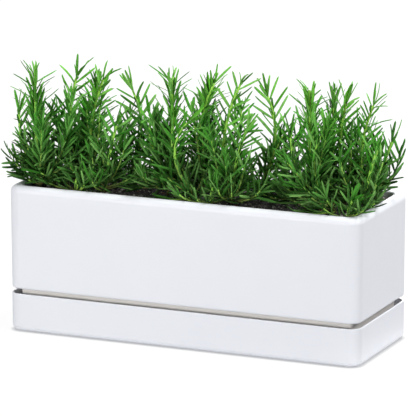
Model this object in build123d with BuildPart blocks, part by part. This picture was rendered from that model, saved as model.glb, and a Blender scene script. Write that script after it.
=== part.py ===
from build123d import *
import itertools
import math
import os

# Indoor herb planter: a long white box on its own drip tray, filled with potting
# soil and planted with three rosemary plants. Millimetres, +Z up. The origin is
# the middle of the tray's flat underside, +X runs along the length, -Y is the front.

# Planter box, outside
planter_length = 406.0
planter_width = 148.0
planter_top = 160.5
corner_radius = 14.0
wall_draft = 0.35
wall = 3.0
box_floor = 3.0
shoulder_height = 47.0
shoulder_round = 3.0

# Rolled rim of the planter box
rim_width = 10.0
rim_round = 7.0
rim_lip_round = 2.0
rim_lip_depth = 7.0
mouth_corner_radius = 12.0

# Plinth under the shoulder, which stands down inside the tray
plinth_inset = 10.0
plinth_round = 1.5
drain_hole_diameter = 8.0
drain_hole_columns = 5
drain_hole_rows = 2

# Drip tray
tray_height = 42.0
tray_wall = 2.4
tray_floor = 3.0
tray_proud = 0.3
tray_foot_round = 6.5
tray_lip_round = 0.9
tray_inner_round = 4.0
support_rib_height = 5.0
support_rib_width = 4.0
support_rib_count = 4
support_rib_setback = 12.0

# Potting soil and the root balls planted in it
soil_below_rim = 8.0
soil_gap = 0.3
root_ball_width = 96.0
root_ball_depth = 84.0
root_ball_taper = 7.0
root_ball_corner = 14.0
root_ball_end_room = 5.0

# Rosemary stems
sprig_height = 120.0
stem_base_radius = 1.6
stem_tip_radius = 0.9
stem_sides = 6
stem_stations = 4

# Rosemary needles
needle_length = 25.0
needle_width = 2.3
needle_thickness = 1.0
needle_spacing = 6.5
needle_clearance = 0.4
lowest_needle = 15.0
whorl_turn = 107.0
low_needle_angle = 52.0
top_needle_angle = 24.0
tip_needle_shortening = 0.25
whorl_start = 35.0

# A needle that would touch a neighbour turns round its stem, then grows shorter
needle_turns = (0.0, 24.0, -24.0, 48.0, -48.0, 72.0, -72.0)
needle_length_shares = (1.0, 0.72, 0.5)

# Needle outline: place along the length, half width, as shares of length and width
needle_outline_shares = ((0.0, 0.3), (0.35, 0.5), (0.8, 0.36), (1.0, 0.0))

# Each sprig, left plant first: where its stem stands on the root ball (X and Y),
# where its tip is (X and Y), both as shares of half the root ball's width, then
# the stem's height and its sideways bow as shares of the sprig height
left_plant_shares = (
    (-0.78, -0.90, -0.90, -0.84, 0.98, -0.02),
    (-0.87, -0.52, -1.42, -0.62, 0.66, -0.07),
    (-0.36, -0.26, -0.76, -0.44, 0.62, -0.16),
    (-0.42, 0.18, -0.38, 0.22, 0.95, -0.08),
    (0.08, 0.02, 0.46, -0.18, 0.99, -0.07),
    (0.60, 0.70, 0.90, 0.44, 0.86, 0.12),
    (0.74, -0.70, 0.98, -0.62, 0.62, -0.02),
    (-0.30, 0.84, -0.22, 0.92, 0.72, -0.02),
    (0.10, -0.88, 0.22, -0.96, 0.36, -0.02),
)
middle_plant_shares = (
    (-0.78, -0.44, -0.72, -0.36, 0.98, 0.03),
    (-0.90, 0.20, -1.34, -0.10, 0.66, -0.08),
    (0.10, -0.60, -0.16, -0.78, 0.72, -0.18),
    (-0.16, 0.26, 0.04, 0.30, 1.00, -0.11),
    (0.44, 0.02, 0.82, -0.08, 1.04, -0.09),
    (0.90, 0.74, 1.26, 0.46, 0.91, 0.12),
    (0.90, -0.72, 1.24, -0.72, 0.69, -0.04),
    (-0.44, 0.86, -0.40, 0.96, 0.78, -0.02),
    (0.48, -0.90, 0.56, -1.00, 0.36, -0.01),
)
right_plant_shares = (
    (-0.40, -0.42, -0.34, -0.34, 1.00, 0.02),
    (-0.66, 0.14, -0.92, 0.00, 0.62, -0.02),
    (0.50, -0.66, 0.18, -0.80, 0.74, -0.16),
    (0.36, 0.10, 0.32, 0.18, 0.93, -0.06),
    (0.66, 0.40, 0.94, 0.22, 0.93, -0.07),
    (0.72, 0.88, 1.22, 0.64, 0.58, -0.01),
    (0.90, -0.20, 1.28, -0.42, 0.59, -0.02),
    (-0.30, 0.88, -0.28, 0.96, 0.78, 0.00),
    (0.80, -0.92, 0.94, -1.02, 0.36, -0.01),
)
plant_shares = (left_plant_shares, middle_plant_shares, right_plant_shares)

# One overrun serves every cut that has to pass right through
overrun = 1.0

# Heights worked out from the sizes above
rib_top = tray_floor + support_rib_height
plinth_floor_top = rib_top + box_floor
shoulder_floor_top = shoulder_height + box_floor
soil_top = planter_top - soil_below_rim
channel_top = planter_top - wall
lip_bottom = planter_top - rim_lip_depth
root_ball_bottom = soil_top - root_ball_depth

# The outer root balls keep their room from the rim's inner ends, the middle one stands midway
plant_spacing = planter_length / 2 - rim_width - root_ball_end_room - root_ball_width / 2
plant_centres = (-plant_spacing, 0.0, plant_spacing)


def draft_inset(height):
    """How far the drafted side has come in from its size at the rim."""
    return (planter_top - height) * math.tan(math.radians(wall_draft))


def outline_at(height, inset, own_radius):
    """Rounded outline of the box family at a height, drawn in by an inset."""
    drawn_in = inset + draft_inset(height)
    length = planter_length - 2 * drawn_in
    width = planter_width - 2 * drawn_in
    radius = own_radius or max(corner_radius - drawn_in, corner_radius / 3)
    with BuildSketch(Plane.XY.offset(height)) as outline:
        RectangleRounded(length, width, radius)
    return outline.sketch


def root_outline(centre, height, gap):
    """Rounded square outline of a root ball, or of its pocket, at a height."""
    depth_share = (soil_top - height) / root_ball_depth
    width = root_ball_width - 2 * root_ball_taper * depth_share - 2 * gap
    with BuildSketch(Plane(origin=(centre, 0, height))) as outline:
        RectangleRounded(width, width, root_ball_corner - gap)
    return outline.sketch


def drafted_block(bottom, top, inset, foot_round, own_radius=0):
    """Solid of the box family between two heights, its bottom edge rounded."""
    with BuildPart() as block:
        loft(sections=[outline_at(bottom, inset, own_radius), outline_at(top, inset, own_radius)])
        if foot_round > 0:
            fillet(block.edges().group_by(Axis.Z)[0], foot_round)
    return block.part


def root_plug(centre, gap):
    """Tapered rounded square plug, from the soil's surface down."""
    sections = [root_outline(centre, root_ball_bottom, gap), root_outline(centre, soil_top, gap)]
    with BuildPart() as plug:
        loft(sections=sections)
    return plug.part


def segment_gap(first, second):
    """Least distance between two straight segments, each a pair of points."""
    along, across = first[1] - first[0], second[1] - second[0]
    apart = first[0] - second[0]
    aa, ab, bb = along.dot(along), along.dot(across), across.dot(across)
    ad, bd = along.dot(apart), across.dot(apart)
    spread = aa * bb - ab * ab
    on_first = min(max((ab * bd - bb * ad) / spread, 0), 1) if spread > 0 else 0
    on_second = min(max((ab * on_first + bd) / bb, 0), 1)
    on_first = min(max((ab * on_second - ad) / aa, 0), 1)
    return (apart + along * on_first - across * on_second).length


class Sprig:
    """One rosemary stem: its bowed path, and the needles that grow from it."""

    def __init__(self, centre, shares, first_turn):
        base_x, base_y, tip_x, tip_y, height, bow = shares
        half = root_ball_width / 2
        self.base = Vector(centre + base_x * half, base_y * half, soil_top)
        self.tip = Vector(centre + tip_x * half, tip_y * half, soil_top + height * sprig_height)
        self.middle = (self.base + self.tip) / 2 + Vector(2 * bow * sprig_height, 0, 0)
        self.length = (self.tip - self.base).length
        self.first_turn = first_turn
        self.needles = []

    def point(self, share):
        """Point on the bowed stem, from 0 at the soil to 1 at the tip."""
        rest = 1 - share
        return self.base * rest**2 + self.middle * 2 * rest * share + self.tip * share**2

    def along(self, share):
        """Direction of the stem at a point."""
        slope = (self.middle - self.base) * (1 - share) + (self.tip - self.middle) * share
        return slope.normalized()

    def stem_segments(self):
        """The stem as straight segments, for the clearance rule."""
        points = [self.point(step / stem_stations) for step in range(stem_stations + 1)]
        return list(zip(points[:-1], points[1:]))

    def needle_frame(self, share, turn):
        """Root, direction and flat side of a needle that leaves the stem at a turn."""
        axis = self.along(share)
        angle = math.radians(low_needle_angle + (top_needle_angle - low_needle_angle) * share)
        stem_plane = Plane(origin=self.point(share), x_dir=Vector(1, 0, -axis.X / axis.Z), z_dir=axis)
        outward = stem_plane.x_dir.rotate(Axis((0, 0, 0), axis), turn)
        direction = axis * math.cos(angle) + outward * math.sin(angle)
        return Plane(origin=stem_plane.origin, x_dir=direction, z_dir=direction.cross(axis.cross(outward)))

    def gap_to(self, other):
        """Least distance between this stem and another."""
        pairs = itertools.product(self.stem_segments(), other.stem_segments())
        return min(segment_gap(own, theirs) for own, theirs in pairs)

    def grow(self, sprigs):
        """Place needles in opposite pairs up the stem, each clear of its neighbours."""
        reach = 2 * (needle_length + needle_width)
        neighbours = [other for other in sprigs if other is not self and self.gap_to(other) < reach]
        levels = int((self.length - lowest_needle) / needle_spacing)
        for level in range(levels + 1):
            share = (lowest_needle + (self.length - lowest_needle) * level / levels) / self.length
            full = needle_length * (1 - tip_needle_shortening * share)
            for side in (0, 180):
                turn = self.first_turn + whorl_turn * level + side
                self.place_needle(share, turn, full, neighbours)

    def place_needle(self, share, turn, full, neighbours):
        """Add the first trial of a needle that keeps its clearance, if there is one."""
        for length_share in needle_length_shares:
            for extra in needle_turns:
                frame = self.needle_frame(share, turn + extra)
                length = full * length_share
                trial = (frame.origin, frame.origin + frame.x_dir * length)
                if all(other.clear_of(trial) for other in neighbours):
                    self.needles.append((frame, length, trial))
                    return

    def clear_of(self, trial):
        """Whether a neighbour's needle keeps clear of this stem and its needles."""
        stem_room = stem_base_radius + needle_width / 2 + needle_clearance
        for segment in self.stem_segments():
            if segment_gap(trial, segment) < stem_room:
                return False
        needle_room = needle_width + needle_clearance
        for _, _, placed in self.needles:
            if (placed[0] - trial[0]).length < 2 * needle_length + needle_room:
                if segment_gap(trial, placed) < needle_room:
                    return False
        return True

    def stem_solid(self):
        """Tapering stem with flat sides, standing level on the root ball."""
        rings = []
        for step in range(stem_stations + 1):
            share = step / stem_stations
            radius = stem_base_radius + (stem_tip_radius - stem_base_radius) * share
            turns = [360 * side / stem_sides for side in range(stem_sides)]
            spokes = [Vector(radius, 0, 0).rotate(Axis.Z, turn) for turn in turns]
            rings.append([self.point(share) + spoke for spoke in spokes])
        faces = [Face(Wire.make_polygon(rings[0])), Face(Wire.make_polygon(rings[-1]))]
        for low, high in zip(rings[:-1], rings[1:]):
            for side in range(stem_sides):
                corners = [low[side - 1], low[side], high[side], high[side - 1]]
                faces.append(Face(Wire.make_polygon(corners)))
        return Solid(Shell(faces))

    def build(self, label):
        """Stem with its flat pointed needles, as one solid in its own file."""
        stem = self.stem_solid()
        with BuildPart() as sprig:
            add(stem)
            for frame, length, _ in self.needles:
                with BuildSketch(frame.offset(-needle_thickness / 2)):
                    Polygon(*needle_outline(length), align=None)
            extrude(amount=needle_thickness, clean=False)
        sprig.part.label = label
        export_step(sprig.part, f"parts/{label}.step")


def needle_outline(length):
    """Corners of a needle: one side out to the point, and back along the other."""
    side = [(length * x, needle_width * y) for x, y in needle_outline_shares]
    return side + [(x, -y) for x, y in reversed(side[:-1])]


# Drip tray: drafted shell with a rounded foot, and cross ribs that carry the planter
os.makedirs("parts", exist_ok=True)
tray_hollow = drafted_block(tray_floor, tray_height, tray_wall - tray_proud, tray_inner_round)
rib_field_length = planter_length - 2 * (plinth_inset + support_rib_setback)
rib_length = planter_width - 2 * (plinth_inset + support_rib_setback)
rib_pitch = rib_field_length / (support_rib_count - 1)

with BuildPart() as drip_tray:
    add(drafted_block(0, tray_height, -tray_proud, tray_foot_round))
    add(tray_hollow, mode=Mode.SUBTRACT)
    fillet(drip_tray.faces().sort_by(Axis.Z)[-1].edges(), tray_lip_round)
    with BuildSketch(Plane.XY.offset(tray_floor)) as rib_outlines:
        with GridLocations(rib_pitch, 0, support_rib_count, 1):
            SlotOverall(rib_length, support_rib_width, rotation=90)
    extrude(amount=support_rib_height)
drip_tray.part.label = "drip_tray"
export_step(drip_tray.part, "parts/drip_tray.step")

# Planter box: drafted shell with a rolled-in rim, on a plinth with drain holes
shell_block = drafted_block(shoulder_height, planter_top, 0, shoulder_round)
shell_hollow = drafted_block(shoulder_floor_top, channel_top, wall, 0)
lip_radius = mouth_corner_radius + wall
lip_block = drafted_block(lip_bottom, planter_top - wall / 2, rim_width - wall, 0, lip_radius)
mouth = drafted_block(lip_bottom - overrun, planter_top + overrun, rim_width, 0, mouth_corner_radius)
plinth_block = drafted_block(rib_top, shoulder_floor_top, plinth_inset, plinth_round)
plinth_hollow = drafted_block(plinth_floor_top, shoulder_floor_top + overrun, plinth_inset + wall, 0)
drain_pitch_x = (planter_length - 2 * plinth_inset) / drain_hole_columns
drain_pitch_y = (planter_width - 2 * plinth_inset) / drain_hole_rows

with BuildPart() as planter_box:
    add(shell_block)
    fillet(planter_box.faces().sort_by(Axis.Z)[-1].edges(), rim_round)
    add(shell_hollow, mode=Mode.SUBTRACT)
    add(lip_block)
    add(plinth_block)
    add(mouth, mode=Mode.SUBTRACT)
    add(plinth_hollow, mode=Mode.SUBTRACT)
    mouth_edges = planter_box.faces().sort_by(Axis.Z)[-1].inner_wires()[0].edges()
    fillet(mouth_edges, rim_lip_round)
    with Locations(Plane.XY.offset(plinth_floor_top)):
        with GridLocations(drain_pitch_x, drain_pitch_y, drain_hole_columns, drain_hole_rows):
            Hole(drain_hole_diameter / 2, depth=box_floor + overrun)
planter_box.part.label = "planter_box"
export_step(planter_box.part, "parts/planter_box.step")

# Potting soil: fills the box and its plinth, with a pocket for each root ball
lower_soil = drafted_block(plinth_floor_top, shoulder_floor_top, plinth_inset + wall + soil_gap, 0)
upper_soil = drafted_block(shoulder_floor_top, soil_top, wall + soil_gap, 0)

with BuildPart() as potting_soil:
    add(lower_soil)
    add(upper_soil)
    for centre in plant_centres:
        add(root_plug(centre, 0), mode=Mode.SUBTRACT)
potting_soil.part.label = "potting_soil"
export_step(potting_soil.part, "parts/potting_soil.step")

# Root balls: one in each pocket, clear of its sides and resting on its floor
for number, centre in enumerate(plant_centres, start=1):
    root_ball = root_plug(centre, soil_gap)
    root_ball.label = f"root_ball_{number}"
    export_step(root_ball, f"parts/root_ball_{number}.step")

# Rosemary sprigs: stems first, so that every needle can keep clear of all of them
sprigs = {}
for plant, (centre, rows) in enumerate(zip(plant_centres, plant_shares), start=1):
    for stem, shares in enumerate(rows, start=1):
        sprigs[f"plant_{plant}_sprig_{stem}"] = Sprig(centre, shares, whorl_start * stem)
for label, sprig in sprigs.items():
    sprig.grow(sprigs.values())
    sprig.build(label)
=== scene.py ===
"""Indoor herb planter: the looks of a white planter box on its tray, planted with rosemary."""

import logging
import math
import random
from dataclasses import dataclass, field
from enum import Enum

import bpy
from bpy.types import Material, Mesh, Node, NodeSocket, NodeTree, Object
from mathutils import Matrix, Vector, noise


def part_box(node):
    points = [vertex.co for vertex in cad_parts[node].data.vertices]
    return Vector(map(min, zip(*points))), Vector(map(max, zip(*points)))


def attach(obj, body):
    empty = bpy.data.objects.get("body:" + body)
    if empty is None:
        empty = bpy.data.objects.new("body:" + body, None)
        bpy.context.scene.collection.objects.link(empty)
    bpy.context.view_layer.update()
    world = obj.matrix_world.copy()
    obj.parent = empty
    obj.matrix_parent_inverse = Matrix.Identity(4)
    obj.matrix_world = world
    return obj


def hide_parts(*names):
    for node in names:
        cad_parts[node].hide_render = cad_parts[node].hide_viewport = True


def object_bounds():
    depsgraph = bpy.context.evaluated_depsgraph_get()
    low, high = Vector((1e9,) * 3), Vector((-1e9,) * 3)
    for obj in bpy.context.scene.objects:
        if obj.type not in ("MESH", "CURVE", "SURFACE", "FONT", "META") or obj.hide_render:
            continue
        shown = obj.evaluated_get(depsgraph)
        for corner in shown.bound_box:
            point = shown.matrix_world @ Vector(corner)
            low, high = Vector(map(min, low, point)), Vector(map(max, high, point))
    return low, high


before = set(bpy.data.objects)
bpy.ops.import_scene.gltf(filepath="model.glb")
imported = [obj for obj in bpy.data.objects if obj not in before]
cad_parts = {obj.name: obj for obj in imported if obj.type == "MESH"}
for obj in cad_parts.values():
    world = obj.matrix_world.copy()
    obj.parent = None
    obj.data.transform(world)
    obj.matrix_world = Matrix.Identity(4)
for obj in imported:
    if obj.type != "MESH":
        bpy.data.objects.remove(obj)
CAD_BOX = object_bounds()
MM = 0.001
Pair = tuple[float, float]

logging.basicConfig(level=logging.INFO, format="%(name)s: %(message)s")
log = logging.getLogger("planter")


def srgb(red: float, green: float, blue: float) -> tuple[float, float, float, float]:
    """Turn a colour as it looks on screen, 0 to 255, into the renderer's linear colour.

    Args:
        red: Its red.
        green: Its green.
        blue: Its blue.

    Returns:
        Linear red, green, blue and an alpha of one.
    """
    linear = []
    for value in (red, green, blue):
        share = value / 255
        linear.append(share / 12.92 if share <= 0.04045 else ((share + 0.055) / 1.055) ** 2.4)
    return (*linear, 1.0)


class NodeSheet:
    """One node tree, with short ways to add nodes and join them."""

    def __init__(self, tree: NodeTree) -> None:
        """Take up a tree and forget what it held."""
        self.tree = tree
        tree.nodes.clear()

    def add(self, kind: str, settings: dict | None = None, *values: object, **sockets: object) -> Node:
        """Add a node and set or join its inputs.

        Args:
            kind: Blender's name of the node type, without its ShaderNode part.
            settings: Properties of the node itself.
            values: Its first inputs, in order. A node or an output is joined.
            sockets: Further inputs by name, with spaces written as underscores.

        Returns:
            The new node.
        """
        node = self.tree.nodes.new(kind if kind.startswith("Node") else "ShaderNode" + kind)
        for name, value in (settings or {}).items():
            setattr(node, name, value)
        named = {name.replace("_", " "): value for name, value in sockets.items()}
        for name, value in (*enumerate(values), *named.items()):
            self.feed(node.inputs[name], value)
        return node

    def feed(self, socket: NodeSocket, value: object) -> None:
        """Set one input, or join it to a node's first output or to an output.

        Args:
            socket: The input.
            value: Constant, node or output socket.
        """
        source = value.outputs[0] if isinstance(value, Node) else value
        if isinstance(source, NodeSocket):
            self.tree.links.new(source, socket)
        else:
            socket.default_value = source

    def ramp(self, factor: object, stops: tuple) -> Node:
        """Add a colour ramp.

        Args:
            factor: Value that runs along the ramp.
            stops: Places along the ramp, each with its colour.

        Returns:
            The ramp node.
        """
        node = self.add("ValToRGB", None, factor)
        band = node.color_ramp.elements
        while len(band) < len(stops):
            band.new(0.5)
        for stop, (place, colour) in zip(band, stops):
            stop.position = place
            stop.color = colour
        return node

    def math(self, operation: str, first: object, second: object = 0.0) -> Node:
        """Add a math node with one or two values, by Blender's name of the operation."""
        return self.add("Math", {"operation": operation}, first, second)

    def peak(self, value: object, power: float, share: float) -> Node:
        """Keep only the high end of a value, up to a share."""
        return self.math("MULTIPLY", self.math("POWER", value, power), share)

    def mix(self, share: object, first: object, second: object) -> Node:
        """Mix two colours, with the share of the second one."""
        return self.add("MixRGB", None, share, first, second)

    def mix_shaders(self, share: object, first: Node, second: Node) -> Node:
        """Mix two shaders, with the share of the second one."""
        return self.add("MixShader", None, share, first, second)


class MaterialSheet(NodeSheet):
    """The node tree of a new material."""

    def __init__(self, name: str) -> None:
        """Make the material, with nothing in it.

        Args:
            name: Name of the material.
        """
        self.material = bpy.data.materials.new(name)
        self.material.use_nodes = True
        super().__init__(self.material.node_tree)

    def spot(self) -> NodeSocket:
        """Place on the piece, which its patterns follow."""
        return self.add("TexCoord").outputs["Object"]

    def attribute(self, name: str) -> NodeSocket:
        """Read a number that the mesh carries, by its name."""
        return self.add("Attribute", {"attribute_name": name}).outputs["Fac"]

    def surface(self, colour: object, roughness: object, **sockets: object) -> Material:
        """Add the finish's shader and join it to the output.

        Args:
            colour: Its colour.
            roughness: Its roughness.
            sockets: Further inputs by name.

        Returns:
            The material.
        """
        shader = self.add("BsdfPrincipled", Base_Color=colour, Roughness=roughness, **sockets)
        self.add("OutputMaterial", Surface=shader)
        return self.material


def new_group(name: str, inputs: dict[str, str], outputs: dict[str, str]) -> NodeSheet:
    """Make an empty shader group.

    Args:
        name: Name of the group.
        inputs: Kind of each input, by its name.
        outputs: Kind of each output, by its name.

    Returns:
        The group's node sheet.
    """
    group = bpy.data.node_groups.new(name, "ShaderNodeTree")
    for side, sockets in (("INPUT", inputs), ("OUTPUT", outputs)):
        for socket, kind in sockets.items():
            group.interface.new_socket(socket, in_out=side, socket_type="NodeSocket" + kind)
    return NodeSheet(group)


@dataclass(frozen=True)
class CloudyTint:
    """Shader group: soft uneven patches that shift a colour towards a second one.

    The scale says how small the patches are, and the amount how far they shift the colour.
    """

    scale: float
    amount: float = 1.0
    name: str = "cloudy_tint"
    detail: float = 4.0
    noise_roughness: float = 0.55
    clear_below: float = 0.32
    full_above: float = 0.68

    def group(self) -> NodeTree:
        """Build the group once, or fetch it.

        Returns:
            The group, with a colour and a mask as outputs.
        """
        if self.name in bpy.data.node_groups:
            return bpy.data.node_groups[self.name]
        inputs = {"Vector": "Vector", "Scale": "Float", "Amount": "Float", "Base": "Color", "Patch": "Color"}
        sheet = new_group(self.name, inputs, {"Color": "Color", "Mask": "Float"})
        given = sheet.add("NodeGroupInput").outputs
        clouds = sheet.add("TexNoise", Vector=given["Vector"], Scale=given["Scale"], Detail=self.detail,
                           Roughness=self.noise_roughness)
        mask = sheet.add("MapRange", Value=clouds.outputs["Fac"], From_Min=self.clear_below,
                         From_Max=self.full_above)
        tint = sheet.mix(sheet.math("MULTIPLY", mask, given["Amount"]), given["Base"], given["Patch"])
        sheet.add("NodeGroupOutput", Color=tint, Mask=mask)
        return sheet.tree

    def place(self, sheet: MaterialSheet, base: object, patch: object) -> Node:
        """Place the group in a material, to shift its base colour towards that of the patches."""
        return sheet.add("Group", {"node_tree": self.group()}, Vector=sheet.spot(), Scale=self.scale,
                         Amount=self.amount, Base=base, Patch=patch)


@dataclass(frozen=True)
class FineRelief:
    """Shader group: the height of a fine grain over a broader unevenness. The depth is in metres."""

    grain_scale: float
    wave_scale: float
    wave_share: float
    depth: float
    strength: float
    name: str = "fine_relief"
    grain_detail: float = 3.0
    wave_detail: float = 1.0

    def group(self) -> NodeTree:
        """Build the group once, or fetch it.

        Returns:
            The group, with a height as its output.
        """
        if self.name in bpy.data.node_groups:
            return bpy.data.node_groups[self.name]
        inputs = {"Vector": "Vector", "Grain Scale": "Float", "Wave Scale": "Float", "Wave Share": "Float"}
        sheet = new_group(self.name, inputs, {"Height": "Float"})
        given = sheet.add("NodeGroupInput").outputs
        grain = sheet.add("TexNoise", Vector=given["Vector"], Scale=given["Grain Scale"],
                          Detail=self.grain_detail)
        wave = sheet.add("TexNoise", Vector=given["Vector"], Scale=given["Wave Scale"],
                         Detail=self.wave_detail)
        broad = sheet.math("MULTIPLY", wave.outputs["Fac"], given["Wave Share"])
        sheet.add("NodeGroupOutput", Height=sheet.math("ADD", grain.outputs["Fac"], broad))
        return sheet.tree

    def bump(self, sheet: MaterialSheet) -> Node:
        """Place the group in a material, with the bump that it feeds."""
        height = sheet.add("Group", {"node_tree": self.group()}, Vector=sheet.spot(),
                           Grain_Scale=self.grain_scale, Wave_Scale=self.wave_scale,
                           Wave_Share=self.wave_share)
        return sheet.add("Bump", Height=height, Distance=self.depth, Strength=self.strength)


@dataclass(frozen=True)
class WhitePlastic:
    """Smooth white moulded plastic with a soft shine, with painted shade on the plinth below a given height.
    """

    name: str
    plinth_top: float = 0.0
    plinth_painted_shade: tuple = srgb(221, 217, 212)
    colour: tuple = srgb(239, 241, 246)
    shaded_colour: tuple = srgb(237, 239, 245)
    roughness: tuple = (0.42, 0.48)
    refraction: float = 1.46
    clouds: CloudyTint = CloudyTint(9.0)
    relief: FineRelief = FineRelief(900.0, 14.0, 0.3, 0.01 * MM, 0.5)

    def build(self) -> Material:
        """Build the material.

        Returns:
            The material.
        """
        sheet = MaterialSheet(self.name)
        tint = self.clouds.place(sheet, self.colour, self.shaded_colour)
        height = sheet.add("SeparateXYZ", Vector=sheet.spot()).outputs["Z"]
        # Painted shade: below the plinth's top the colour turns darker and warmer, for the shaded groove
        # between box and tray.
        low = sheet.math("LESS_THAN", height, self.plinth_top)
        polish = sheet.add("MapRange", Value=tint.outputs["Mask"], To_Min=self.roughness[0],
                           To_Max=self.roughness[1])
        return sheet.surface(sheet.mix(low, tint, self.plinth_painted_shade), polish, IOR=self.refraction,
                             Normal=self.relief.bump(sheet))


@dataclass(frozen=True)
class PhotoCamera:
    """Camera at the photograph's viewing angle. Angles in degrees, lengths in metres."""

    azimuth: float = 23.159
    elevation: float = 13.301
    distance: float = 4.660
    aim: tuple = (0.00066, 0.0, 0.13877)
    lens: float = 376.24
    sensor: float = 36.0

    def build(self) -> None:
        """Add the camera and make it the scene's own."""
        turn, tilt = math.radians(self.azimuth), math.radians(self.elevation)
        back = Vector((math.sin(turn) * math.cos(tilt), -math.cos(turn) * math.cos(tilt), math.sin(tilt)))
        bpy.ops.object.camera_add(location=Vector(self.aim) + back * self.distance)
        camera = bpy.context.object
        camera.name = "photo_camera"
        camera.rotation_mode = "QUATERNION"
        camera.rotation_quaternion = (-back).to_track_quat("-Z", "Y")
        camera.data.lens = self.lens
        camera.data.sensor_width = self.sensor
        camera.data.clip_end = 100.0
        bpy.context.scene.camera = camera


@dataclass(frozen=True)
class SoftLamp:
    """Square soft lamp that looks at the planter. Lengths in metres, power in watts."""

    name: str
    place: tuple[float, float, float]
    size: float
    power: float
    aim: tuple = (0.0, 0.0, 0.1)

    def build(self) -> None:
        """Add the lamp."""
        bpy.ops.object.light_add(type="AREA", location=self.place)
        lamp = bpy.context.object
        lamp.name = self.name
        lamp.data.size = self.size
        lamp.data.energy = self.power
        lamp.rotation_mode = "QUATERNION"
        lamp.rotation_quaternion = (Vector(self.aim) - Vector(self.place)).to_track_quat("-Z", "Y")


@dataclass
class Studio:
    """White floor, white surround and soft lamps. Lengths in metres.

    The camera sees the floor as white, with a painted contact shadow only where the tray touches it. What the
    floor throws back to the planter is dimmer, and is a painted pool of light that falls off within the
    bright patch around the planter.
    """

    floor_reach: float = 30.0
    seen_level: float = 1.06
    seen_matt: tuple = srgb(250, 250, 250)
    seen_matt_share: float = 0.12
    contact_shadow_reach: float = 6 * MM
    contact_shadow_stops: tuple = ((0.3, srgb(186, 187, 190)), (0.95, srgb(255, 255, 255)))
    bright_patch: float = 24 * MM
    bounce_stops: tuple = ((0.0, srgb(222, 222, 223)), (1.0, srgb(166, 166, 168)))
    white: tuple = srgb(255, 255, 255)
    sky_level: float = 0.16
    lamps: tuple = (
        SoftLamp("top_lamp", (0.6, 0.7, 3.0), 1.0, 50.0),
        SoftLamp("front_lamp", (-0.9, -3.1, 0.3), 1.0, 81.0),
        SoftLamp("right_lamp", (2.4, -0.1, 1.9), 1.0, 50.0),
        SoftLamp("back_lamp", (-0.8, 3.0, 1.2), 1.2, 34.0),
    )

    def build(self) -> None:
        """Build the floor, the world and the lamps."""
        self.build_floor()
        self.build_world()
        for lamp in self.lamps:
            lamp.build()
        bpy.context.scene.view_settings.view_transform = "Standard"

    def build_floor(self) -> None:
        """Add the pale floor, which shows white to the camera with a painted contact shadow, and keeps a
        small share of the real shadow.
        """
        bpy.ops.mesh.primitive_plane_add(size=self.floor_reach, location=(0, 0, 0))
        floor = bpy.context.object
        floor.name = "studio_floor"
        sheet = MaterialSheet("studio_floor")
        # Painted contact shadow: an ambient-occlusion ramp darkens the floor's glow where the tray touches
        # it.
        near = sheet.add("AmbientOcclusion", {"samples": 8}, Distance=self.contact_shadow_reach)
        painted_contact_shadow = sheet.ramp(near.outputs["AO"], self.contact_shadow_stops)
        glow = sheet.add("Emission", Color=painted_contact_shadow, Strength=self.seen_level)
        seen = sheet.mix_shaders(self.seen_matt_share, glow, sheet.add("BsdfDiffuse", Color=self.seen_matt))
        # Painted pool of light: the colour that the floor throws back is paler near the planter's sides.
        shade = sheet.ramp(self.reach_from_box(sheet), self.bounce_stops)
        rays = sheet.add("LightPath")
        lit = sheet.mix_shaders(rays.outputs["Is Camera Ray"], sheet.add("BsdfDiffuse", Color=shade), seen)
        sheet.add("OutputMaterial", Surface=lit)
        floor.data.materials.append(sheet.material)

    def reach_from_box(self, sheet: MaterialSheet) -> Node:
        """Distance of a floor point from the planter's sides, as a share of the bright patch's width.

        Args:
            sheet: The floor's node sheet.

        Returns:
            The node with that share.
        """
        low, high = CAD_BOX
        parts = sheet.add("SeparateXYZ", Vector=sheet.spot())
        sides = []
        for axis, half in (("X", (high.x - low.x) / 2), ("Y", (high.y - low.y) / 2)):
            outside = sheet.math("SUBTRACT", sheet.math("ABSOLUTE", parts.outputs[axis]), half)
            sides.append(sheet.math("POWER", sheet.math("MAXIMUM", outside, 0.0), 2.0))
        distance = sheet.math("SQRT", sheet.math("ADD", *sides))
        return sheet.math("DIVIDE", distance, self.bright_patch)

    def build_world(self) -> None:
        """Make the surround: white to the camera and in reflections, softer as a light."""
        world = bpy.data.worlds.new("studio_world")
        world.use_nodes = True
        bpy.context.scene.world = world
        sheet = NodeSheet(world.node_tree)
        rays = sheet.add("LightPath")
        mirrored = sheet.math("MAXIMUM", rays.outputs["Is Glossy Ray"], rays.outputs["Is Transmission Ray"])
        shown = sheet.math("MAXIMUM", rays.outputs["Is Camera Ray"], mirrored)
        soft = sheet.add("Background", Color=self.white, Strength=self.sky_level)
        bright = sheet.add("Background", Color=self.white, Strength=1.0)
        sheet.add("OutputWorld", Surface=sheet.mix_shaders(shown, soft, bright))


def dress(node: str, material: Material) -> None:
    """Give a solid its finish.

    Args:
        node: Name of the solid.
        material: Its finish.
    """
    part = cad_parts[node]
    part.data.materials.clear()
    part.data.materials.append(material)
    log.info("%s dressed in %s", node, material.name)


@dataclass
class MouldedParts:
    """The planter box and the drip tray, which keep their own shapes and get their finish."""

    # Height below which the planter box's plastic gets its painted groove shade.
    plinth_top: float = 46.5 * MM

    def build(self) -> None:
        """Dress both parts in white plastic."""
        dress("planter_box", WhitePlastic("planter_plastic", self.plinth_top).build())
        dress("drip_tray", WhitePlastic("tray_plastic").build())


@dataclass(frozen=True)
class Habit:
    """One form in which a sprig grows, with its leaves low on the stem and at its tip.

    Lengths are in metres and angles in degrees, each as a low and a top value. The crown is the bunch
    of leaves on the very tip. The cross share is the size of every second pair beside the others.
    """

    leaf_gap: Pair
    leaf_angle: Pair
    leaf_length: Pair
    turn_scatter: float
    branches: int
    foot_shoots: int
    height_share: float = 1.0
    crown_pairs: int = 2
    cross_share: float = 1.0


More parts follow.
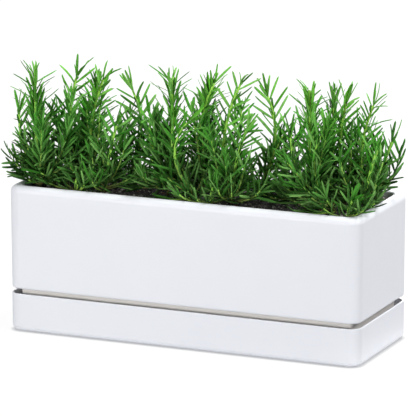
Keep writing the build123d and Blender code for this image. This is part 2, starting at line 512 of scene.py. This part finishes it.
SPIRE = Habit(leaf_gap=(4.6 * MM, 3.1 * MM), leaf_angle=(40, 14), leaf_length=(30 * MM, 25 * MM),
              turn_scatter=16, branches=3, foot_shoots=2, height_share=1.07, crown_pairs=4)
PAIRED = Habit(leaf_gap=(6.0 * MM, 4.8 * MM), leaf_angle=(54, 37), leaf_length=(32 * MM, 26 * MM),
               turn_scatter=8, branches=4, foot_shoots=4, cross_share=0.7)
TUFT = Habit(leaf_gap=(5.0 * MM, 3.4 * MM), leaf_angle=(70, 44), leaf_length=(28 * MM, 22 * MM),
             turn_scatter=20, branches=0, foot_shoots=6, height_share=0.5)


@dataclass(frozen=True)
class Sprig:
    """One sprig's habit, and where it stands and leans.

    Places are shares of half a root ball's width, and the height and the bow of the sprig height.
    """

    habit: Habit
    base: Pair
    tip: Pair
    height: float
    bow: float


PLANT_SHARES = (
    (
        Sprig(SPIRE, (-0.78, -0.90), (-0.90, -0.84), 0.98, -0.02),
        Sprig(PAIRED, (-0.87, -0.52), (-1.42, -0.62), 0.66, -0.07),
        Sprig(PAIRED, (-0.36, -0.26), (-0.76, -0.44), 0.62, -0.16),
        Sprig(PAIRED, (-0.42, 0.18), (-0.38, 0.22), 0.95, -0.08),
        Sprig(PAIRED, (0.08, 0.02), (0.46, -0.18), 0.99, -0.07),
        Sprig(PAIRED, (0.60, 0.70), (0.90, 0.44), 0.86, 0.12),
        Sprig(PAIRED, (0.74, -0.70), (0.98, -0.62), 0.62, -0.02),
        Sprig(SPIRE, (-0.30, 0.84), (-0.22, 0.92), 0.72, -0.02),
        Sprig(TUFT, (0.10, -0.88), (0.22, -0.96), 0.36, -0.02),
    ),
    (
        Sprig(SPIRE, (-0.78, -0.44), (-0.72, -0.36), 0.98, 0.03),
        Sprig(PAIRED, (-0.90, 0.20), (-1.34, -0.10), 0.66, -0.08),
        Sprig(PAIRED, (0.10, -0.60), (-0.16, -0.78), 0.72, -0.18),
        Sprig(PAIRED, (-0.16, 0.26), (0.04, 0.30), 1.00, -0.11),
        Sprig(PAIRED, (0.44, 0.02), (0.82, -0.08), 1.04, -0.09),
        Sprig(PAIRED, (0.90, 0.74), (1.26, 0.46), 0.91, 0.12),
        Sprig(PAIRED, (0.90, -0.72), (1.24, -0.72), 0.69, -0.04),
        Sprig(SPIRE, (-0.44, 0.86), (-0.40, 0.96), 0.78, -0.02),
        Sprig(TUFT, (0.48, -0.90), (0.56, -1.00), 0.36, -0.01),
    ),
    (
        Sprig(SPIRE, (-0.40, -0.42), (-0.34, -0.34), 1.00, 0.02),
        Sprig(PAIRED, (-0.66, 0.14), (-0.92, 0.00), 0.62, -0.02),
        Sprig(PAIRED, (0.50, -0.66), (0.18, -0.80), 0.74, -0.16),
        Sprig(PAIRED, (0.36, 0.10), (0.32, 0.18), 0.93, -0.06),
        Sprig(PAIRED, (0.66, 0.40), (0.94, 0.22), 0.93, -0.07),
        Sprig(PAIRED, (0.72, 0.88), (1.22, 0.64), 0.58, -0.01),
        Sprig(PAIRED, (0.90, -0.20), (1.28, -0.42), 0.59, -0.02),
        Sprig(SPIRE, (-0.30, 0.88), (-0.28, 0.96), 0.78, 0.00),
        Sprig(TUFT, (0.80, -0.92), (0.94, -1.02), 0.36, -0.01),
    ),
)


def between(pair: Pair, share: float) -> float:
    """Value part of the way from the first to the second of a pair."""
    return pair[0] + (pair[1] - pair[0]) * share


def held(value: float, low: float = 0.0, high: float = 1.0) -> float:
    """The value, held between two limits."""
    return min(max(value, low), high)


def sideways(axis: Vector, turn: float) -> Vector:
    """Direction of length one square to an axis, at a turn about it in degrees."""
    level = Vector((math.cos(math.radians(turn)), math.sin(math.radians(turn)), 0))
    return (level - axis * level.dot(axis)).normalized()


def close_mesh() -> None:
    """Turn the faces outwards, leave edit mode and shade the piece smooth."""
    bpy.ops.mesh.select_all(action="SELECT")
    bpy.ops.mesh.normals_make_consistent(inside=False)
    bpy.ops.object.mode_set(mode="OBJECT")
    bpy.ops.object.shade_smooth()


def set_attribute(mesh: Mesh, name: str, values: list[float]) -> None:
    """Store one number for each vertex of a mesh, under a name."""
    attribute = mesh.attributes.get(name) or mesh.attributes.new(name, "FLOAT", "POINT")
    attribute.data.foreach_set("value", values)


def copied(model: Object, place: Matrix, **marks: float) -> Object:
    """Copy a modelled piece, with a mesh of its own.

    Args:
        model: The piece.
        place: Where the copy goes, with its size.
        marks: Numbers that the copy's whole mesh carries, by name.

    Returns:
        The copy.
    """
    piece = model.copy()
    piece.data = model.data.copy()
    piece.data.transform(place)
    for name, value in marks.items():
        set_attribute(piece.data, name, [value] * len(piece.data.vertices))
    bpy.context.scene.collection.objects.link(piece)
    return piece


def joined(pieces: list[Object], name: str) -> Object:
    """Join pieces into the first of them.

    Args:
        pieces: The pieces.
        name: Name of the whole.

    Returns:
        The whole.
    """
    bpy.ops.object.select_all(action="DESELECT")
    for piece in pieces:
        piece.select_set(True)
    bpy.context.view_layer.objects.active = pieces[0]
    bpy.ops.object.join()
    whole = bpy.context.object
    whole.name = name
    whole.data.name = name
    return whole


@dataclass(frozen=True)
class LeafShape:
    """One narrow rosemary leaf, along +X with its upper side to +Z. Lengths in metres.

    Above the ridge share of the thickness, the groove share of the height is taken off.
    """

    curl: float
    length: float = 25 * MM
    width: float = 2.8 * MM
    thickness: float = 0.9 * MM
    ridge_share: float = 0.4
    groove_share: float = 0.55
    under_share: float = 0.1
    sides: int = 8
    station_shares: tuple = (0.0, 0.12, 0.34, 0.66, 0.92, 1.0)
    width_shares: tuple = (0.36, 0.72, 1.0, 0.98, 0.7, 0.2)

    def build(self) -> Object:
        """Model the leaf from a ring that is extruded and narrowed to a point.

        Returns:
            The leaf object.
        """
        bpy.ops.mesh.primitive_circle_add(vertices=self.sides, radius=0.5, fill_type="NGON",
                                          rotation=(0, math.pi / 2, 0))
        leaf = bpy.context.object
        bpy.ops.object.transform_apply(location=False, rotation=True, scale=False)
        for vertex in leaf.data.vertices:
            vertex.co.y *= self.width * self.width_shares[0]
            vertex.co.z *= self.thickness
            if vertex.co.z > self.ridge_share * self.thickness:
                vertex.co.z *= 1 - self.groove_share
        bpy.ops.object.mode_set(mode="EDIT")
        bpy.ops.mesh.select_all(action="SELECT")
        place = self.centre(0.0)
        for step, share in enumerate(self.station_shares[1:], start=1):
            ahead = self.centre(share)
            bpy.ops.mesh.extrude_region_move(TRANSFORM_OT_translate={"value": ahead - place})
            ratio = self.width_shares[step] / self.width_shares[step - 1]
            slim = 1.0 if share < 1.0 else ratio
            bpy.ops.transform.resize(value=(1, ratio, slim), center_override=ahead)
            place = ahead
        bpy.ops.mesh.merge(type="CENTER")
        close_mesh()
        self.mark(leaf.data)
        return leaf

    def centre(self, share: float) -> Vector:
        """Point on the leaf's curled middle line."""
        return Vector((self.length * share, 0, self.curl * self.length * share * share))

    def mark(self, mesh: Mesh) -> None:
        """Store how far out and how far under each vertex lies.

        Args:
            mesh: The leaf's mesh.
        """
        across, under = [], []
        for vertex in mesh.vertices:
            middle = self.centre(held(vertex.co.x / self.length))
            across.append(min(abs(vertex.co.y) / (self.width / 2), 1))
            under.append(1.0 if vertex.co.z < middle.z - self.under_share * self.thickness else 0.0)
        set_attribute(mesh, "across", across)
        set_attribute(mesh, "under", under)


@dataclass
class Shoot:
    """A stem or side shoot: a bowed path with leaves in opposite pairs. Lengths in metres."""

    base: Vector
    middle: Vector
    tip: Vector
    radii: Pair
    ages: Pair
    stations: int = 9
    sides: int = 7

    def point(self, share: float) -> Vector:
        """Point on the path, from 0 at its base to 1 at its tip."""
        rest = 1 - share
        return self.base * rest**2 + self.middle * 2 * rest * share + self.tip * share**2

    def heading(self, share: float) -> Vector:
        """Direction of the path at a point."""
        slope = (self.middle - self.base) * (1 - share) + (self.tip - self.middle) * share
        return slope.normalized()

    def build_stem(self) -> Object:
        """Model the stem from a ring that is extruded along the path and narrowed.

        Returns:
            The stem object.
        """
        facing = (self.tip - self.base).to_track_quat("Z", "Y").to_euler()
        bpy.ops.mesh.primitive_circle_add(vertices=self.sides, radius=self.radii[0], fill_type="NGON",
                                          location=self.base, rotation=facing)
        stem = bpy.context.object
        bpy.ops.object.transform_apply(location=True, rotation=True, scale=False)
        bpy.ops.object.mode_set(mode="EDIT")
        bpy.ops.mesh.select_all(action="SELECT")
        for step in range(self.stations):
            before, ahead = self.point(step / self.stations), self.point((step + 1) / self.stations)
            bpy.ops.mesh.extrude_region_move(TRANSFORM_OT_translate={"value": ahead - before})
            width = between(self.radii, (step + 1) / self.stations)
            ratio = width / between(self.radii, step / self.stations)
            bpy.ops.transform.resize(value=(ratio, ratio, ratio), center_override=ahead)
        close_mesh()
        rise = max(self.tip.z - self.base.z, MM)
        shares = [held((vertex.co.z - self.base.z) / rise) for vertex in stem.data.vertices]
        set_attribute(stem.data, "age", [between(self.ages, share) for share in shares])
        return stem


class LeafStand(Enum):
    """How a leaf stands on its shoot."""

    FLAT = "flat"
    TWISTED = "twisted"
    SPREAD = "spread"


@dataclass
class Rosemary:
    """The rosemary plants: every sprig with its stem, side shoots and leaves.

    Lengths are in metres, but the reach of a shoot at the foot is in millimetres, and angles are in
    degrees. A scatter is a range or a spread of random draws. Of a shoot's lean and of its middle, the
    first number follows the stem and the second stands off from it.
    """

    seed: int = 12
    plant_spacing: float = 140 * MM
    root_ball_width: float = 96 * MM
    sprig_height: float = 120 * MM
    stem_radii: tuple = (1.7 * MM, 1.3 * MM)
    stem_ages: tuple = (1.0, 0.0)
    bare_stem: float = 10 * MM
    shoot_radii: tuple = (1.1 * MM, 0.7 * MM)
    shoot_middle: tuple = (0.3, 0.75)
    shoot_age_fall: float = 0.5
    shoot_tip_age: float = 0.55
    shoot_room: float = 12 * MM
    bare_shoot: float = 6 * MM
    shoot_leaf_share: float = 0.88
    branch_shares: tuple = (0.03, 0.23)
    branch_reach: tuple = (0.4, 0.8)
    branch_follow: float = 0.95
    branch_stand_off: tuple = (0.25, 0.6)
    foot_shares: tuple = (0.02, 0.1)
    foot_reach: tuple = (24, 46)
    foot_lean: tuple = (0.45, 0.95)
    tip_room: float = 1.0 * MM
    tip_leaf_share: float = 0.95
    crown_turn: float = 65.0
    crown_steepness: float = 0.45
    twisted_roll: tuple = (50, 90)
    flat_roll: tuple = (0, 60)
    pair_plane: float = 23.0
    pair_scatter: float = 12
    shoot_scatter: float = 40
    gap_scatter: tuple = (0.85, 1.15)
    angle_scatter: float = 5
    length_scatter: tuple = (0.82, 1.16)
    slim_scatter: tuple = (0.7, 1.15)
    slim_share: float = 0.7
    spread_angle: tuple = (40, 54)
    spread_size: float = 1.1
    spread_slim: float = 0.6
    spread_age: float = 0.5
    # Share of a leaf's age that comes from its height: partly age, partly painted shade low in the plant.
    height_age_and_shade_share: float = 0.7
    age_scatter: float = 0.08
    full_age_and_shade_drop: float = 105 * MM
    rim_width: float = 10 * MM
    rim_room: float = 5 * MM
    curls: tuple = (-0.4, -0.2, -0.04, 0.16, 0.34)
    leaves: list = field(default_factory=list)
    soil_top: float = 0.0
    planter_box: tuple = ()
    habit: Habit = PAIRED
    luck: random.Random = field(default_factory=random.Random)

    def build(self) -> None:
        """Build every sprig in place of its plain solid."""
        self.soil_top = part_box("potting_soil")[1].z
        self.planter_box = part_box("planter_box")
        self.leaves = [LeafShape(curl).build() for curl in self.curls]
        finishes = (RosemaryStem().build(), RosemaryLeaf().build())
        for plant, rows in enumerate(PLANT_SHARES, start=1):
            for number, row in enumerate(rows, start=1):
                self.build_sprig(plant, number, row, finishes)
        for leaf in self.leaves:
            bpy.data.objects.remove(leaf)

    def build_sprig(self, plant: int, number: int, row: Sprig, finishes: tuple[Material, Material]) -> None:
        """Build one sprig and set it on its root ball.

        Args:
            plant: Number of the plant, from the left.
            number: Number of the sprig in its plant.
            row: Where the sprig stands and how it grows.
            finishes: Materials of the stems and of the leaves.
        """
        self.luck = random.Random(self.seed + 100 * plant + number)
        self.habit = row.habit
        node = f"plant_{plant}_sprig_{number}"
        main = self.main_shoot(plant, node, row)
        shoots = [main] + self.side_shoots(main)
        stems = [shoot.build_stem() for shoot in shoots]
        leaves = [leaf for shoot in shoots for leaf in self.leaf_pairs(shoot, shoot is main)]
        for pieces, finish in zip((stems, leaves), finishes):
            for piece in pieces:
                piece.data.materials.append(finish)
        sprig = joined(stems + leaves, f"rosemary_{plant}_sprig_{number}")
        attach(sprig, "planter")
        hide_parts(node)
        log.info("%s: %d shoots, %d leaves", sprig.name, len(shoots), len(leaves))

    def main_shoot(self, plant: int, node: str, row: Sprig) -> Shoot:
        """Path of the sprig's own stem, where its solid has it.

        Args:
            plant: Number of the plant, from the left.
            node: Name of the sprig's solid.
            row: Where the sprig stands and leans.

        Returns:
            The stem's path.
        """
        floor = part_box(node)[0].z
        centre = (plant - 2) * self.plant_spacing
        half = self.root_ball_width / 2
        base = Vector((centre + row.base[0] * half, row.base[1] * half, floor))
        rise = row.height * self.sprig_height * self.habit.height_share
        tip = Vector((centre + row.tip[0] * half, row.tip[1] * half, floor + rise))
        middle = (base + tip) / 2 + Vector((2 * row.bow * self.sprig_height, 0, 0))
        return Shoot(base, middle, tip, self.stem_radii, self.stem_ages)

    def side_shoots(self, main: Shoot) -> list[Shoot]:
        """Branches that rise beside the stem, and short shoots around its foot.

        Args:
            main: The sprig's stem.

        Returns:
            The side shoots.
        """
        height = (main.tip - main.base).length
        habit, luck, shoots = self.habit, self.luck, []
        for number in range(habit.branches):
            share = between(self.branch_shares, (number + luck.random()) / habit.branches)
            reach = height * luck.uniform(*self.branch_reach) * (1 - share)
            lean = (self.branch_follow, luck.uniform(*self.branch_stand_off))
            shoots.append(self.side_shoot(main, share, reach, lean))
        for number in range(habit.foot_shoots):
            share = between(self.foot_shares, (number + luck.random()) / habit.foot_shoots)
            shoots.append(self.side_shoot(main, share, luck.uniform(*self.foot_reach) * MM, self.foot_lean))
        return shoots

    def side_shoot(self, main: Shoot, share: float, reach: float, lean: Pair) -> Shoot:
        """One leafy shoot from a stem.

        Args:
            main: The sprig's stem.
            share: Its place along the stem.
            reach: How far it grows.
            lean: How far it follows the stem, and how far it stands off.

        Returns:
            The side shoot.
        """
        base, axis = main.point(share), main.heading(share)
        outward = sideways(axis, self.luck.uniform(0, 360))
        along, off = self.shoot_middle
        middle = self.clear_of_box(base + (axis * along * lean[0] + outward * off * lean[1]) * reach)
        tip = self.kept_inside(base + (axis * lean[0] + outward * lean[1]) * reach, self.shoot_room)
        ages = (1 - self.shoot_age_fall * share, self.shoot_tip_age)
        return Shoot(base, middle, self.clear_of_box(tip), self.shoot_radii, ages, stations=4, sides=5)

    def clear_of_box(self, point: Vector) -> Vector:
        """The nearest place for a shoot's point where it clears the soil and the rim.

        Args:
            point: Any point of a shoot's path.

        Returns:
            The point, moved in and up where it was low.
        """
        low, high = self.planter_box
        if point.z > high.z + self.rim_room:
            return point
        room = self.rim_width + self.rim_room
        return Vector((held(point.x, low.x + room, high.x - room), held(point.y, low.y + room, high.y - room),
                       max(point.z, self.soil_top + self.rim_room)))

    def kept_inside(self, point: Vector, margin: float) -> Vector:
        """The nearest point that keeps a margin inside the solids' box."""
        room = Vector((margin, margin, margin))
        return Vector(map(held, point, CAD_BOX[0] + room, CAD_BOX[1] - room))

    def leaf_pairs(self, shoot: Shoot, is_main: bool) -> list[Object]:
        """Leaves in opposite pairs up a shoot, closer and steeper towards its tip.

        Args:
            shoot: The shoot's path.
            is_main: Whether this is the sprig's own stem.

        Returns:
            The leaf objects.
        """
        habit, luck = self.habit, self.luck
        length = (shoot.tip - shoot.base).length
        travelled = self.bare_stem if is_main else self.bare_shoot
        size = 1.0 if is_main else self.shoot_leaf_share
        turn = self.pair_plane + luck.uniform(-self.pair_scatter, self.pair_scatter)
        if not is_main:
            turn += luck.uniform(-self.shoot_scatter, self.shoot_scatter)
        leaves, pair = [], 0
        while travelled < length:
            share = travelled / length
            crosses = pair % 2 == 1
            reach = size * (habit.cross_share if is_main and crosses else 1)
            stand = LeafStand.FLAT if crosses else LeafStand.TWISTED
            for way in (turn, turn + 180):
                leaves.append(self.leaf(shoot, share, way, reach, stand))
                if habit is SPIRE and is_main and not crosses:
                    leaves.append(self.leaf(shoot, share, way, self.spread_size, LeafStand.SPREAD))
            turn += 90 + luck.gauss(0, habit.turn_scatter)
            travelled += between(habit.leaf_gap, share) * luck.uniform(*self.gap_scatter)
            pair += 1
        size *= self.tip_leaf_share
        for pair in range(habit.crown_pairs if is_main else 1):
            stand = LeafStand.FLAT if pair else LeafStand.TWISTED
            for way in (turn, turn + 180):
                leaves.append(self.leaf(shoot, 1.0, way + self.crown_turn * pair, size, stand))
        return [leaf for leaf in leaves if leaf is not None]

    def leaf(self, shoot: Shoot, share: float, turn: float, size: float, stand: LeafStand) -> Object | None:
        """One leaf, unless it would reach into the box or out of the solids' box.

        Args:
            shoot: The shoot that carries it.
            share: Its place along the shoot.
            turn: The way it points, about the shoot.
            size: Its size beside a full leaf.
            stand: How it stands on the shoot.

        Returns:
            The leaf, or None where there is no room.
        """
        habit, luck, spread = self.habit, self.luck, stand is LeafStand.SPREAD
        axis, root = shoot.heading(share), shoot.point(share)
        usual = between(habit.leaf_angle, share) * (self.crown_steepness if share == 1.0 else 1)
        angle = luck.uniform(*self.spread_angle) if spread else usual
        angle = math.radians(angle + luck.gauss(0, self.angle_scatter))
        outward = sideways(axis, turn)
        forward = axis * math.cos(angle) + outward * math.sin(angle)
        length = between(habit.leaf_length, share) * size * luck.uniform(*self.length_scatter)
        curl = luck.randrange(len(self.curls))
        rolls = self.twisted_roll if stand is LeafStand.TWISTED else self.flat_roll
        roll = luck.choice((-1, 1)) * luck.uniform(*rolls)
        upper = forward.cross(axis.cross(outward)).normalized()
        across = upper.cross(forward)
        stretch = length / LeafShape.length
        slim = self.slim_share + (1 - self.slim_share) * stretch
        slim *= self.spread_slim if spread else luck.uniform(*self.slim_scatter)
        place = (Matrix.Translation(root) @ Matrix((forward, across, upper)).transposed().to_4x4()
                 @ Matrix.Rotation(math.radians(roll), 4, "X") @ Matrix.Diagonal((stretch, slim, slim, 1)))
        if not self.has_room(place @ LeafShape(self.curls[curl]).centre(1.0)):
            return None
        # Partly painted shade: leaves low over the soil get a higher age, which the leaf material paints
        # darker as well as older.
        drop = held(1 - (root.z - self.soil_top) / self.full_age_and_shade_drop)
        age = self.height_age_and_shade_share * drop + (1 - self.height_age_and_shade_share) * between(shoot.ages, share)
        age = held(age + (self.spread_age if spread else 0) + luck.gauss(0, self.age_scatter))
        return copied(self.leaves[curl], place, age=age, tone=luck.random())

    def has_room(self, end: Vector) -> bool:
        """Whether a leaf may end at a place.

        Args:
            end: Where the leaf's point would be.

        Returns:
            False where the place is too near the soil or the rim, or outside the solids' box.
        """
        low, high = self.planter_box
        over_rim = min(end.x - low.x, high.x - end.x, end.y - low.y, high.y - end.y) < self.rim_width
        floor = high.z + self.rim_room if over_rim else self.soil_top + self.rim_room
        return end.z > floor and (self.kept_inside(end, self.tip_room) - end).length == 0


@dataclass(frozen=True)
class RosemaryLeaf:
    """Leathery green leaf: bright when young, dark when old and in painted shade, paler at its edge and
    underneath.

    Its tone makes it lighter or darker than its neighbours. Painted shade darkens it where neighbours crowd
    it, and towards the soil, where the dark green partly stands for old leaves and partly for shade low in
    the plant.
    """

    name: str = "rosemary_leaf"
    young: tuple = srgb(112, 212, 42)
    grown: tuple = srgb(62, 178, 28)
    old_and_shade_green: tuple = srgb(10, 48, 5)
    grown_age: float = 0.35
    old_age: float = 0.95
    light_tone: tuple = srgb(170, 228, 130)
    tone_power: float = 3.0
    lighter_share: float = 0.62
    darker_share: float = 0.72
    edge: tuple = srgb(134, 188, 92)
    edge_power: float = 4.0
    edge_share: float = 0.25
    underside: tuple = srgb(96, 146, 76)
    underside_share: float = 0.3
    painted_shade_reach: float = 20 * MM
    painted_shade_share: float = 0.85
    roughness: float = 0.45
    gloss_level: float = 0.07
    clouds: CloudyTint = CloudyTint(260.0, 0.2)
    relief: FineRelief = FineRelief(2600.0, 500.0, 0.8, 0.2 * MM, 0.5)

    def build(self) -> Material:
        """Build the material.

        Returns:
            The material.
        """
        sheet = MaterialSheet(self.name)
        # The age ramp's dark end is partly painted shade, as leaves low in the plant get a higher age.
        green = sheet.ramp(sheet.attribute("age"), ((0.0, self.young), (self.grown_age, self.grown),
                                                    (self.old_age, self.old_and_shade_green)))
        green = self.clouds.place(sheet, green, self.light_tone)
        tone = sheet.attribute("tone")
        # Painted shade: ambient occlusion from crowding neighbours mixes the leaf towards the dark green.
        near = sheet.add("AmbientOcclusion", {"samples": 4}, Distance=self.painted_shade_reach)
        painted_shade_mask = sheet.math("SUBTRACT", 1.0, near.outputs["AO"])
        for share, colour in (
            (sheet.peak(tone, self.tone_power, self.lighter_share), self.light_tone),
            (sheet.peak(sheet.math("SUBTRACT", 1.0, tone), self.tone_power, self.darker_share), self.old_and_shade_green),
            (sheet.peak(sheet.attribute("across"), self.edge_power, self.edge_share), self.edge),
            (sheet.math("MULTIPLY", sheet.attribute("under"), self.underside_share), self.underside),
            (sheet.math("MULTIPLY", painted_shade_mask, self.painted_shade_share), self.old_and_shade_green),
        ):
            green = sheet.mix(share, green, colour)
        return sheet.surface(green, self.roughness, Specular_IOR_Level=self.gloss_level,
                             Normal=self.relief.bump(sheet))


@dataclass(frozen=True)
class RosemaryStem:
    """Stem: fresh yellow-green at the top, woody brown at the foot."""

    name: str = "rosemary_stem"
    bark: tuple = srgb(64, 50, 34)
    age_stops: tuple = ((0.45, srgb(166, 230, 84)), (0.75, srgb(156, 198, 86)), (1.0, srgb(96, 80, 50)))
    roughness: float = 0.6
    clouds: CloudyTint = CloudyTint(420.0, 0.18)
    relief: FineRelief = FineRelief(2200.0, 600.0, 1.0, 0.3 * MM, 0.6)

    def build(self) -> Material:
        """Build the material.

        Returns:
            The material.
        """
        sheet = MaterialSheet(self.name)
        aged = sheet.ramp(sheet.attribute("age"), self.age_stops)
        streaked = self.clouds.place(sheet, aged, self.bark)
        return sheet.surface(streaked, self.roughness, Normal=self.relief.bump(sheet))


@dataclass(frozen=True)
class Soil:
    """Dark moist potting soil with paler grains."""

    name: str = "potting_soil"
    dark: tuple = srgb(40, 38, 38)
    mid: tuple = srgb(92, 88, 86)
    pale: tuple = srgb(190, 186, 180)
    mid_tone: float = 0.75
    pale_tone: float = 0.86
    speck_scale: float = 420.0
    speck_size: float = 0.24
    speck_share: float = 0.7
    roughness: float = 0.9
    clouds: CloudyTint = CloudyTint(240.0, 0.4)
    relief: FineRelief = FineRelief(1400.0, 300.0, 0.9, 1.0 * MM, 0.8)

    def build(self) -> Material:
        """Build the material.

        Returns:
            The material.
        """
        sheet = MaterialSheet(self.name)
        grain = sheet.ramp(sheet.attribute("tone"), ((0.0, self.dark), (self.mid_tone, self.mid),
                                                     (self.pale_tone, self.pale)))
        damp = self.clouds.place(sheet, grain, self.mid)
        cells = sheet.add("TexVoronoi", Vector=sheet.spot(), Scale=self.speck_scale)
        inside = sheet.math("LESS_THAN", cells.outputs["Distance"], self.speck_size)
        speckled = sheet.mix(sheet.math("MULTIPLY", inside, self.speck_share), damp, self.pale)
        return sheet.surface(speckled, self.roughness, Normal=self.relief.bump(sheet))


@dataclass(frozen=True)
class Bark:
    """Reddish brown chip of bark."""

    name: str = "bark_chip"
    light: tuple = srgb(172, 106, 70)
    dark: tuple = srgb(104, 62, 42)
    roughness: float = 0.8
    clouds: CloudyTint = CloudyTint(300.0)

    def build(self) -> Material:
        """Build the material."""
        sheet = MaterialSheet(self.name)
        return sheet.surface(self.clouds.place(sheet, self.light, self.dark), self.roughness)


@dataclass
class SoilBed:
    """The soil's uneven surface with loose crumbs and chips of bark. Lengths in metres.

    A grain's shape is its half sizes along X, Y and Z, for a radius of one, and its wear the depth and
    the scale of its unevenness. Each wave of the soil has a share, a scale and a layer of the noise.
    """

    seed: int = 4
    rim_width: float = 10 * MM
    edge_room: float = 1.2 * MM
    corner_radius: float = 10.8 * MM
    sunk: float = 1.5 * MM
    unevenness: float = 3.0 * MM
    grit: float = 0.5 * MM
    mean_rise: float = 0.5
    waves: tuple = ((0.6, 45, 3.0), (0.35, 260, 7.0))
    cell: float = 2.6 * MM
    calm_cells: float = 0.3
    wear: tuple = (0.25, 2.3)
    crumbs: int = 3000
    crumb_shape: tuple = (1.0, 1.0, 0.8)
    crumb_radii: tuple = (0.8 * MM, 2.8 * MM)
    chips: int = 40
    chip_shape: tuple = (1.5, 0.8, 0.35)
    chip_radii: tuple = (1.6 * MM, 3.2 * MM)
    tilt_scatter: float = 0.5
    rise_scatter: tuple = (-0.1, 0.5)
    corners: tuple = ()
    luck: random.Random = field(default_factory=random.Random)

    def build(self) -> None:
        """Build the soil's surface on the plain solids, which stay beneath it."""
        soil, bark = Soil().build(), Bark().build()
        for name in ("potting_soil", "root_ball_1", "root_ball_2", "root_ball_3"):
            dress(name, soil)
        self.corners = self.area()
        self.luck = random.Random(self.seed)
        surface = self.build_surface()
        crumb, chip = self.build_grain(self.crumb_shape), self.build_grain(self.chip_shape)
        crumbs = self.scatter(crumb, self.crumbs, self.crumb_radii, "soil_crumbs")
        chips = self.scatter(chip, self.chips, self.chip_radii, "bark_chips")
        for piece, finish in ((surface, soil), (crumbs, soil), (chips, bark)):
            piece.data.materials.append(finish)
            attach(piece, "planter")
            log.info("%s: %d faces", piece.name, len(piece.data.polygons))

    def area(self) -> tuple[Vector, Vector]:
        """Find the open soil inside the rim.

        Returns:
            Its corners, at the soil's height.
        """
        low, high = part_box("planter_box")
        room = self.rim_width + self.edge_room
        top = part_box("potting_soil")[1].z
        return Vector((low.x + room, low.y + room, top)), Vector((high.x - room, high.y - room, top))

    def height(self, x: float, y: float) -> float:
        """How far the soil rises at a place, as a smooth unevenness."""
        rises = (share * noise.noise(Vector((x * scale, y * scale, layer)))
                 for share, scale, layer in self.waves)
        return self.unevenness * sum(rises, self.mean_rise)

    def past_corner(self, x: float, y: float) -> Pair:
        """How far a place lies beyond the middle of its nearest rounded corner, along X and Y."""
        low, high = self.corners
        return (max(low.x + self.corner_radius - x, x - high.x + self.corner_radius),
                max(low.y + self.corner_radius - y, y - high.y + self.corner_radius))

    def room_at(self, x: float, y: float) -> float:
        """How far a place lies inside the rounded outline of the open soil."""
        over = self.past_corner(x, y)
        return self.corner_radius - (math.hypot(*over) if min(over) > 0 else max(over))

    def rounded(self, x: float, y: float) -> Pair:
        """Where a place on the square sheet lies once the sheet's corners are rounded.

        Args:
            x: Its place along X.
            y: Its place along Y.

        Returns:
            The place, drawn in where it was near a corner.
        """
        over_x, over_y = self.past_corner(x, y)
        if over_x <= 0 or over_y <= 0:
            return x, y
        drawn = 1 - max(over_x, over_y) / math.hypot(over_x, over_y)
        return x - math.copysign(over_x * drawn, x), y - math.copysign(over_y * drawn, y)

    def build_surface(self) -> Object:
        """Model the uneven surface as a thin closed body that sinks into the plain soil.

        Returns:
            The surface object.
        """
        low, high = self.corners
        size = high - low
        bpy.ops.mesh.primitive_grid_add(x_subdivisions=int(size.x / self.cell),
                                        y_subdivisions=int(size.y / self.cell), size=1,
                                        location=(0, 0, low.z - self.sunk))
        surface = bpy.context.object
        surface.name = "soil_surface"
        surface.data.name = surface.name
        surface.scale = (size.x, size.y, 1)
        bpy.ops.object.transform_apply(location=True, rotation=True, scale=True)
        bpy.ops.object.mode_set(mode="EDIT")
        bpy.ops.mesh.select_all(action="SELECT")
        bpy.ops.mesh.extrude_region_move(TRANSFORM_OT_translate={"value": (0, 0, self.sunk)})
        close_mesh()
        for vertex in surface.data.vertices:
            place = vertex.co
            place.x, place.y = self.rounded(place.x, place.y)
            is_clear = self.room_at(place.x, place.y) > self.calm_cells * self.cell
            if place.z > low.z - self.sunk / 2 and is_clear:
                place.z += self.height(place.x, place.y) + self.luck.uniform(0, self.grit)
        return surface

    def build_grain(self, shape: tuple) -> Object:
        """Model one grain from a ball of twenty faces.

        Args:
            shape: Its half sizes for a radius of one.

        Returns:
            The grain object.
        """
        bpy.ops.mesh.primitive_ico_sphere_add(subdivisions=1, radius=1.0)
        grain = bpy.context.object
        for vertex in grain.data.vertices:
            push = 1 + self.wear[0] * noise.noise(vertex.co * self.wear[1])
            vertex.co = Vector(part * stretch * push for part, stretch in zip(vertex.co, shape))
        return grain

    def scatter(self, model: Object, count: int, radii: tuple, name: str) -> Object:
        """Lay copies of a grain over the soil and join them.

        Args:
            model: The grain, which is removed afterwards.
            count: Number of copies.
            radii: Smallest and largest radius.
            name: Name of the whole.

        Returns:
            The joined copies.
        """
        (low, high), luck, copies = self.corners, self.luck, []
        while len(copies) < count:
            x, y = luck.uniform(low.x, high.x), luck.uniform(low.y, high.y)
            radius = between(radii, luck.random() ** 2)
            if self.room_at(x, y) < radius:
                continue
            turn = Matrix.Rotation(luck.uniform(0, math.tau), 4, "Z")
            tilt = Matrix.Rotation(luck.gauss(0, self.tilt_scatter), 4, "X")
            rise = self.height(x, y) + radius * luck.uniform(*self.rise_scatter)
            spot = Matrix.Translation(Vector((x, y, low.z + rise)))
            copies.append(copied(model, spot @ turn @ tilt @ Matrix.Scale(radius, 4), tone=luck.random()))
        bpy.data.objects.remove(model)
        return joined(copies, name)


def write_sizes() -> None:
    """Update the view layer, so that every piece's placement is current."""
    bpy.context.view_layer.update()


def main() -> None:
    """Build the scene in order and report each piece."""
    PhotoCamera().build()
    Studio().build()
    MouldedParts().build()
    SoilBed().build()
    Rosemary().build()
    write_sizes()


if __name__ == "__main__":
    main()
